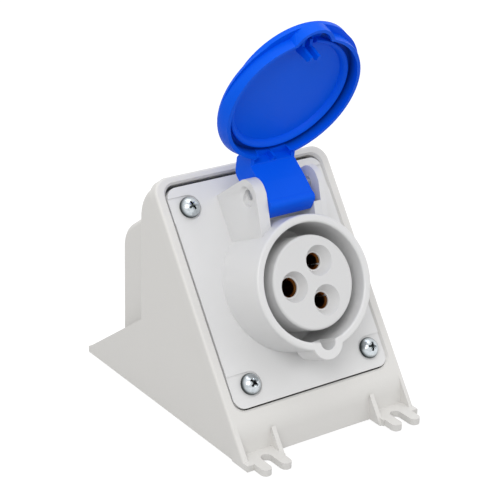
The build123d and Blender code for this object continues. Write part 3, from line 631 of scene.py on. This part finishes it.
class RECEPTACLE_OT_front_panel(bpy.types.Operator):
    """Raises and trims the panel's plate, reworks its collar, pockets and ears, and finishes it"""

    bl_idname = "receptacle.front_panel"
    bl_label = "Front panel"

    def execute(self, context):
        colours = context.scene.receptacle_colours
        plastic = moulded_finish("panel_plastic", list(colours.panel), roughness=0.36, grain=0.7,
                                 grain_depth=0.006)
        mesh = combined(merged_copy("front_panel", PANEL),
                        self.plate_changes() + self.collar_changes() + self.pocket_changes()
                        + self.ear_changes())
        finished_piece("front_panel_moulding", mesh, PANEL, plastic, "box",
                       ("front_panel",), smooth_angle=35)
        return {"FINISHED"}

    @staticmethod
    def plate_changes():
        """Trims the plate's edges and raises its face, which stays open over the collar's bore."""
        inside = rounded_block("inside", (*PLATE_LOW, -6), (*PLATE_HIGH, 2), PLATE_ROUNDING)
        face = rounded_block("face", (*PLATE_LOW, -PLATE_RECESS - 1), (*PLATE_HIGH, PLATE_FACE),
                             PLATE_ROUNDING)
        bores = drum("bores", COLLAR_BORE, -6, 30)
        bores.transform(COLLAR_ON_PANEL @ Matrix.Translation((0, 0, -COLLAR_DEPTH)))
        return [("DIFFERENCE", without(block("border", BORDER_LOW, BORDER_HIGH), inside)),
                ("UNION", without(face, bores))]

    @staticmethod
    def collar_changes():
        """Enlarges the bump over the key, then clears the bore and the key's groove."""
        bump = lathed("bump", [(0, -KEY_LENGTH), (KEY_BUMP, -KEY_LENGTH), (KEY_BUMP, -BUMP_BEVEL),
                               (KEY_BUMP - BUMP_BEVEL, 0), (0, 0)])
        bump.transform(COLLAR_ON_PANEL @ Matrix.Translation(BUMP_PLACE))
        bore = drum("bore", COLLAR_BORE, -COLLAR_DEPTH, 1)
        bore.transform(COLLAR_ON_PANEL)
        groove = drum("groove", KEY_GROOVE_RADIUS, -KEY_GROOVE_LENGTH, 1)
        groove.transform(COLLAR_ON_PANEL @ Matrix.Translation(KEY_GROOVE_PLACE))
        return [("UNION", bump), ("DIFFERENCE", bore), ("DIFFERENCE", groove)]

    @staticmethod
    def pocket_changes():
        """Sinks a shallow round pocket for each screw, open to the plate's edge."""
        changes = []
        for x, height in SCREW_PLACES:
            ends = sorted((x, math.copysign(CHANNEL_END, x)))
            bm = bmesh.new()
            bmesh.ops.create_cone(bm, cap_ends=True, segments=64, radius1=POCKET_HALF, radius2=POCKET_HALF,
                                  depth=2)
            bmesh.ops.translate(bm, vec=(x, height, 1 + POCKET_FLOOR), verts=bm.verts)
            channel = block("channel", (ends[0], height - POCKET_HALF, POCKET_FLOOR),
                            (ends[1], height + POCKET_HALF, 1))
            changes += [("DIFFERENCE", mesh_of(bm, "pocket")), ("DIFFERENCE", channel)]
        return changes

    @staticmethod
    def ear_changes():
        """Steps the right ear outwards, fills the left one's foot, and opens both for the pin."""
        mouth = lathed("mouth", MOUTH_PROFILE)
        mouth.transform(Matrix.Translation((0, HINGE_HEIGHT - MOUTH_DROP, HINGE_RISE))
                        @ Matrix.Rotation(math.pi / 2, 4, "Y"))
        pin_hole = rod("pin_hole", PIN_RADIUS + PIN_HOLE_PLAY, *PIN_HOLE_ENDS, (HINGE_HEIGHT, HINGE_RISE))
        return [("DIFFERENCE", block("clearance", OLD_EAR_LOW, OLD_EAR_HIGH)),
                ("UNION", slab("ear", EAR_OUTLINE, *EAR_SIDES)),
                ("UNION", slab("ear_foot", EAR_FOOT_OUTLINE, *EAR_FOOT_SIDES)),
                ("DIFFERENCE", mouth),
                ("DIFFERENCE", pin_hole)]


class RECEPTACLE_OT_panel_screws(bpy.types.Operator):
    """Makes the four plated panel screws, and finishes the inner screws"""

    bl_idname = "receptacle.panel_screws"
    bl_label = "Panel screws"

    def execute(self, context):
        sizes = context.scene.receptacle_sizes
        screw = self.one_screw(sizes.head_radius / MM, sizes.head_height / MM)
        together = bmesh.new()
        for (x, height), turn in zip(SCREW_PLACES, SCREW_TURNS):
            placed = screw.copy()
            placed.transform(Matrix.Translation((x, height, POCKET_FLOOR))
                             @ Matrix.Rotation(math.radians(turn), 4, "Z"))
            together.from_mesh(placed)
        mesh = bpy.data.meshes.new("panel_screws_plated")
        together.to_mesh(mesh)
        together.free()
        finished_piece("panel_screws_plated", mesh, PANEL, plated_finish("zinc_plate", 0.2, "shade"), "box",
                       ("panel_screws",), smooth_angle=25)
        plain = plated_finish("zinc_plain", 0.26)
        for node in ("cover_screws", "terminal_screws"):
            dress(node, plain)
        return {"FINISHED"}

    @staticmethod
    def one_screw(radius, height):
        """Pan head with a worn cross recess over a ridged shank, standing on the origin, with painted shade
        in its recess and a painted dark reflection at its rim.
        """
        height += POCKET_DEPTH
        side = HEAD_SIDE + POCKET_DEPTH
        bend = (radius ** 2 + (height - side) ** 2) / (2 * (height - side))
        thread = []
        for turn in range(THREAD_TURNS):
            thread += [(SHANK_RADIUS, THREAD_CREST - THREAD_PITCH * turn),
                       (SHANK_RADIUS - THREAD_DEPTH, THREAD_ROOT - THREAD_PITCH * turn)]
        profile = arc(0, height - bend, bend, math.asin(radius / bend)) + [
            (radius, HEAD_CHAMFER), (radius - HEAD_CHAMFER, 0), (SHANK_RADIUS, 0)] + thread + SHANK_TIP
        cutters = []
        for quarter in (0, 90):
            wing = slab("wing", [(-RECESS_TOP, height + 0.1), (RECESS_TOP, height + 0.1),
                                 (RECESS_BOTTOM, height - RECESS_DEPTH),
                                 (-RECESS_BOTTOM, height - RECESS_DEPTH)], -RECESS_HALF, RECESS_HALF)
            wing.transform(Matrix.Rotation(math.radians(quarter), 4, "Z"))
            tick = block("tick", (-TICK_REACH, -TICK_HALF, height - TICK_DEPTH),
                         (TICK_REACH, TICK_HALF, height + 0.2))
            tick.transform(Matrix.Rotation(math.radians(quarter + 45), 4, "Z"))
            cutters += [wing, tick]
        mesh = without(lathed("screw", profile, 64), *cutters)

        # Painted shade of 1 inside the recess, and a painted dark reflection that rises steeply towards the
        # head's rim
        def shade_at(out, rise):
            face = height - bend + math.sqrt(max(0.0, bend ** 2 - out ** 2))
            sunk = rise < face - 0.1 and out < radius * SHADED_RECESS_SHARE
            return 1.0 if sunk else min(1.0, out / radius) ** RIM_REFLECTION_FALL

        shade_by(mesh, shade_at)
        return mesh


class RECEPTACLE_OT_contacts(bpy.types.Operator):
    """Finishes the contact carrier, its cover and seal, and the three brass sleeves with their rings"""

    bl_idname = "receptacle.contacts"
    bl_label = "Contacts"

    def execute(self, context):
        colours = context.scene.receptacle_colours
        carrier = moulded_finish("carrier_plastic", list(colours.carrier), roughness=0.55, grain=0.5,
                                 grain_depth=0.014)
        for node in ("contact_carrier", "carrier_cover"):
            dress(node, carrier)
        dress("carrier_seal", rubber_finish("seal_rubber", SEAL_RUBBER))
        brass = turned_finish("turned_brass", BRASS, BRASS_STAIN, 0.34, COLLAR_MIDDLE, COLLAR_OUT, pitch=0.16)
        steel = turned_finish("ring_steel", RING_STEEL, RING_STAIN, 0.3, COLLAR_MIDDLE, COLLAR_OUT, pitch=0.1)
        for pole in ("line", "earth", "neutral"):
            dress(pole + "_sleeve", brass)
            dress(pole + "_spring_ring", steel)
        return {"FINISHED"}


class RECEPTACLE_OT_lid(bpy.types.Operator):
    """Reworks the blue lid with its catch and tail, makes its sealing ring, and finishes both"""

    bl_idname = "receptacle.lid"
    bl_label = "Lid"

    def execute(self, context):
        colours = context.scene.receptacle_colours
        mesh = combined(merged_copy("lid", LID), self.lid_changes())
        # Painted shade: points in the gap round the seal get a shade of 1, which darkens the lid's colour
        # there
        shade_by(mesh, lambda out, rise: float(rise > GAP_SHADE_HEIGHT and GAP_SHADE_INSIDE < out < GAP_SHADE_OUTSIDE))
        blue = glossy_finish("lid_blue_plastic", list(colours.lid), 0.4, "shade")
        finished_piece("lid_moulding", mesh, LID, blue, "lid", ("lid",), smooth_angle=35)
        ring = without(lathed("seal", SEAL_PROFILE), block("gap", SEAL_GAP_LOW, SEAL_GAP_HIGH))
        finished_piece("lid_seal_ring", ring, LID, glossy_finish("lid_seal_rubber", list(colours.seal), 0.5),
                       "lid", ("lid_seal",), smooth_angle=35)
        return {"FINISHED"}

    @staticmethod
    def lid_changes():
        """Clears the dish, cuts the tapering groove and the pockets, then adds the prongs and the tail."""
        groove = moved(lathed("groove", GROOVE_PROFILE, 128), (0, GROOVE_SHIFT, 0))
        bulge = moved(drum("bulge", BULGE_RADIUS, -2, 6), (0, BULGE_PLACE, 0))
        hinge_side = block("hinge_side", HINGE_SIDE_LOW, HINGE_SIDE_HIGH)
        changes = [("DIFFERENCE", drum("disc", DISH_RADIUS, -4, LID_FLOOR + CLEAR)),
                   ("DIFFERENCE", without(groove, bulge, hinge_side))]
        for low, high in POCKET_PLACES:
            changes.append(("DIFFERENCE", block("pocket", (low, POCKET_FRONT, -1),
                                                (high, POCKET_BACK, POCKET_TOP))))
        for low, high in CATCH_PLACES:
            changes.append(("UNION", slab("prong", CATCH_OUTLINE, low, high)))
        changes.append(("UNION", slab("tail", TAIL_OUTLINE, -TAIL_HALF_WIDTH, TAIL_HALF_WIDTH)))
        return changes


class RECEPTACLE_OT_hinge(bpy.types.Operator):
    """Makes the hinge pin, and finishes it and the lid's spring"""

    bl_idname = "receptacle.hinge"
    bl_label = "Hinge"

    def execute(self, context):
        steel = turned_finish("pin_steel", PIN_STEEL, PIN_STAIN, 0.3, HINGE, ACROSS, pitch=0.14)
        finished_piece("hinge_pin_steel", rod("pin", PIN_RADIUS, *PIN_ENDS),
                       Matrix.Translation(HINGE) @ Matrix.Scale(MM, 4), steel, "box",
                       ("hinge_pin",), edge=PIN_EDGE)
        dress("lid_spring", turned_finish("spring_wire", SPRING_STEEL, SPRING_STAIN, 0.32, (0, 0, 0), ACROSS,
                                          pitch=0.12))
        return {"FINISHED"}


class RECEPTACLE_OT_stage(bpy.types.Operator):
    """Sets up the camera, the pale floor, the soft lamps and the white surroundings"""

    bl_idname = "receptacle.stage"
    bl_label = "Stage"

    def execute(self, context):
        scene = context.scene
        scene.view_settings.view_transform = "Standard"
        self.place_camera(scene)
        self.lay_floor(scene)
        self.hang_lamps(scene)
        self.light_world(scene)
        return {"FINISHED"}

    @staticmethod
    def place_camera(scene):
        """The photograph's own view, from a solved azimuth, elevation, roll and distance."""
        right = Vector((math.cos(VIEW_AZIMUTH), math.sin(VIEW_AZIMUTH), 0))
        back = Vector((math.sin(VIEW_AZIMUTH) * math.cos(VIEW_ELEVATION),
                       -math.cos(VIEW_AZIMUTH) * math.cos(VIEW_ELEVATION), math.sin(VIEW_ELEVATION)))
        down = (-back).cross(right)
        right_rolled = right * math.cos(VIEW_ROLL) + down * math.sin(VIEW_ROLL)
        down_rolled = down * math.cos(VIEW_ROLL) - right * math.sin(VIEW_ROLL)
        data = bpy.data.cameras.new("camera")
        data.sensor_width = VIEW_SENSOR
        data.lens = VIEW_LENS
        data.clip_start, data.clip_end = 0.01, 20
        camera = bpy.data.objects.new("camera", data)
        scene.collection.objects.link(camera)
        turn = Matrix((right_rolled, -down_rolled, back)).transposed()
        place = (VIEW_TARGET - right_rolled * VIEW_OFFSET.x - down_rolled * VIEW_OFFSET.y
                 + back * VIEW_OFFSET.z)
        camera.matrix_world = Matrix.Translation(place) @ turn.to_4x4()
        scene.camera = camera

    @staticmethod
    def lay_floor(scene):
        """Wide floor that shows white to the camera and keeps the shadow."""
        bm = bmesh.new()
        bmesh.ops.create_grid(bm, x_segments=1, y_segments=1, size=FLOOR_HALF)
        floor = bpy.data.objects.new("floor", mesh_of(bm, "floor"))
        floor.location = (0, 0, -FLOOR_DROP)
        scene.collection.objects.link(floor)
        paper = Finish("floor_paper")
        path = paper.nodes.new("ShaderNodeLightPath")
        seen = (Wire(paper, path.outputs["Is Camera Ray"]) + Wire(paper, path.outputs["Is Glossy Ray"])
                + Wire(paper, path.outputs["Is Transmission Ray"])).clamped()
        fibre = paper.noise(paper.coordinates(), 1.2, 3)
        pale = paper.tinted(fibre, [FLOOR_GREY] * 3, 0.01)
        paper.set(Base_Color=paper.mix(seen, pale, [FLOOR_SEEN_GREY] * 3), Roughness=0.9,
                  Specular_IOR_Level=0.0, Emission_Color=paper.mix(seen, (0, 0, 0), [FLOOR_SEEN_GLOW] * 3),
                  Emission_Strength=1.0)
        floor.data.materials.append(paper.material)

    @staticmethod
    def hang_lamps(scene):
        """A broad soft key from the upper left, a fill from the right and a top light."""
        for name, place, size, power in LAMPS:
            data = bpy.data.lights.new(name, "AREA")
            data.size = size
            data.energy = power * scene.receptacle_sizes.lamp_power
            lamp = bpy.data.objects.new(name, data)
            lamp.location = place
            lamp.rotation_mode = "QUATERNION"
            lamp.rotation_quaternion = (Vector(place) - LAMP_AIM).to_track_quat("Z", "Y")
            scene.collection.objects.link(lamp)

    @staticmethod
    def light_world(scene):
        """White to the camera, an even soft glow to everything else."""
        world = bpy.data.worlds.new("studio")
        world.use_nodes = True
        nodes, links = world.node_tree.nodes, world.node_tree.links
        path = nodes.new("ShaderNodeLightPath")
        seen = nodes.new("ShaderNodeMath")
        links.new(path.outputs["Is Camera Ray"], seen.inputs[0])
        links.new(path.outputs["Is Glossy Ray"], seen.inputs[1])
        both = nodes.new("ShaderNodeMath")
        both.use_clamp = True
        links.new(seen.outputs[0], both.inputs[0])
        links.new(path.outputs["Is Transmission Ray"], both.inputs[1])
        strength = nodes.new("ShaderNodeMapRange")
        strength.inputs["To Min"].default_value = WORLD_GLOW
        strength.inputs["To Max"].default_value = WORLD_SEEN_GLOW
        links.new(both.outputs[0], strength.inputs["Value"])
        glow = nodes["Background"]
        glow.inputs["Color"].default_value = (1, 1, 1, 1)
        links.new(strength.outputs[0], glow.inputs["Strength"])
        scene.world = world


class RECEPTACLE_PT_panel(bpy.types.Panel):
    """Lists the colours, the sizes and the steps that dress the receptacle"""

    bl_idname = "RECEPTACLE_PT_panel"
    bl_label = "Receptacle"
    bl_space_type = "VIEW_3D"
    bl_region_type = "UI"
    bl_category = "Receptacle"

    def draw(self, context):
        scene = context.scene
        for group in (scene.receptacle_colours, scene.receptacle_sizes):
            for key in group.__annotations__:
                self.layout.prop(group, key)
        for step in STEPS:
            self.layout.operator(step.bl_idname)


STEPS = (
    RECEPTACLE_OT_stage,
    RECEPTACLE_OT_housing,
    RECEPTACLE_OT_front_panel,
    RECEPTACLE_OT_panel_screws,
    RECEPTACLE_OT_contacts,
    RECEPTACLE_OT_lid,
    RECEPTACLE_OT_hinge,
)
GROUPS = {"receptacle_colours": ReceptacleColours, "receptacle_sizes": ReceptacleSizes}


def register():
    for group in GROUPS.values():
        bpy.utils.register_class(group)
    for name, group in GROUPS.items():
        setattr(bpy.types.Scene, name, bpy.props.PointerProperty(type=group))
    for shown in (*STEPS, RECEPTACLE_PT_panel):
        bpy.utils.register_class(shown)


def unregister():
    for shown in (RECEPTACLE_PT_panel, *reversed(STEPS)):
        bpy.utils.unregister_class(shown)
    for name, group in reversed(GROUPS.items()):
        delattr(bpy.types.Scene, name)
        bpy.utils.unregister_class(group)


def main():
    register()
    for step in STEPS:
        family, name = step.bl_idname.split(".")
        getattr(getattr(bpy.ops, family), name)()


if __name__ == "__main__":
    main()
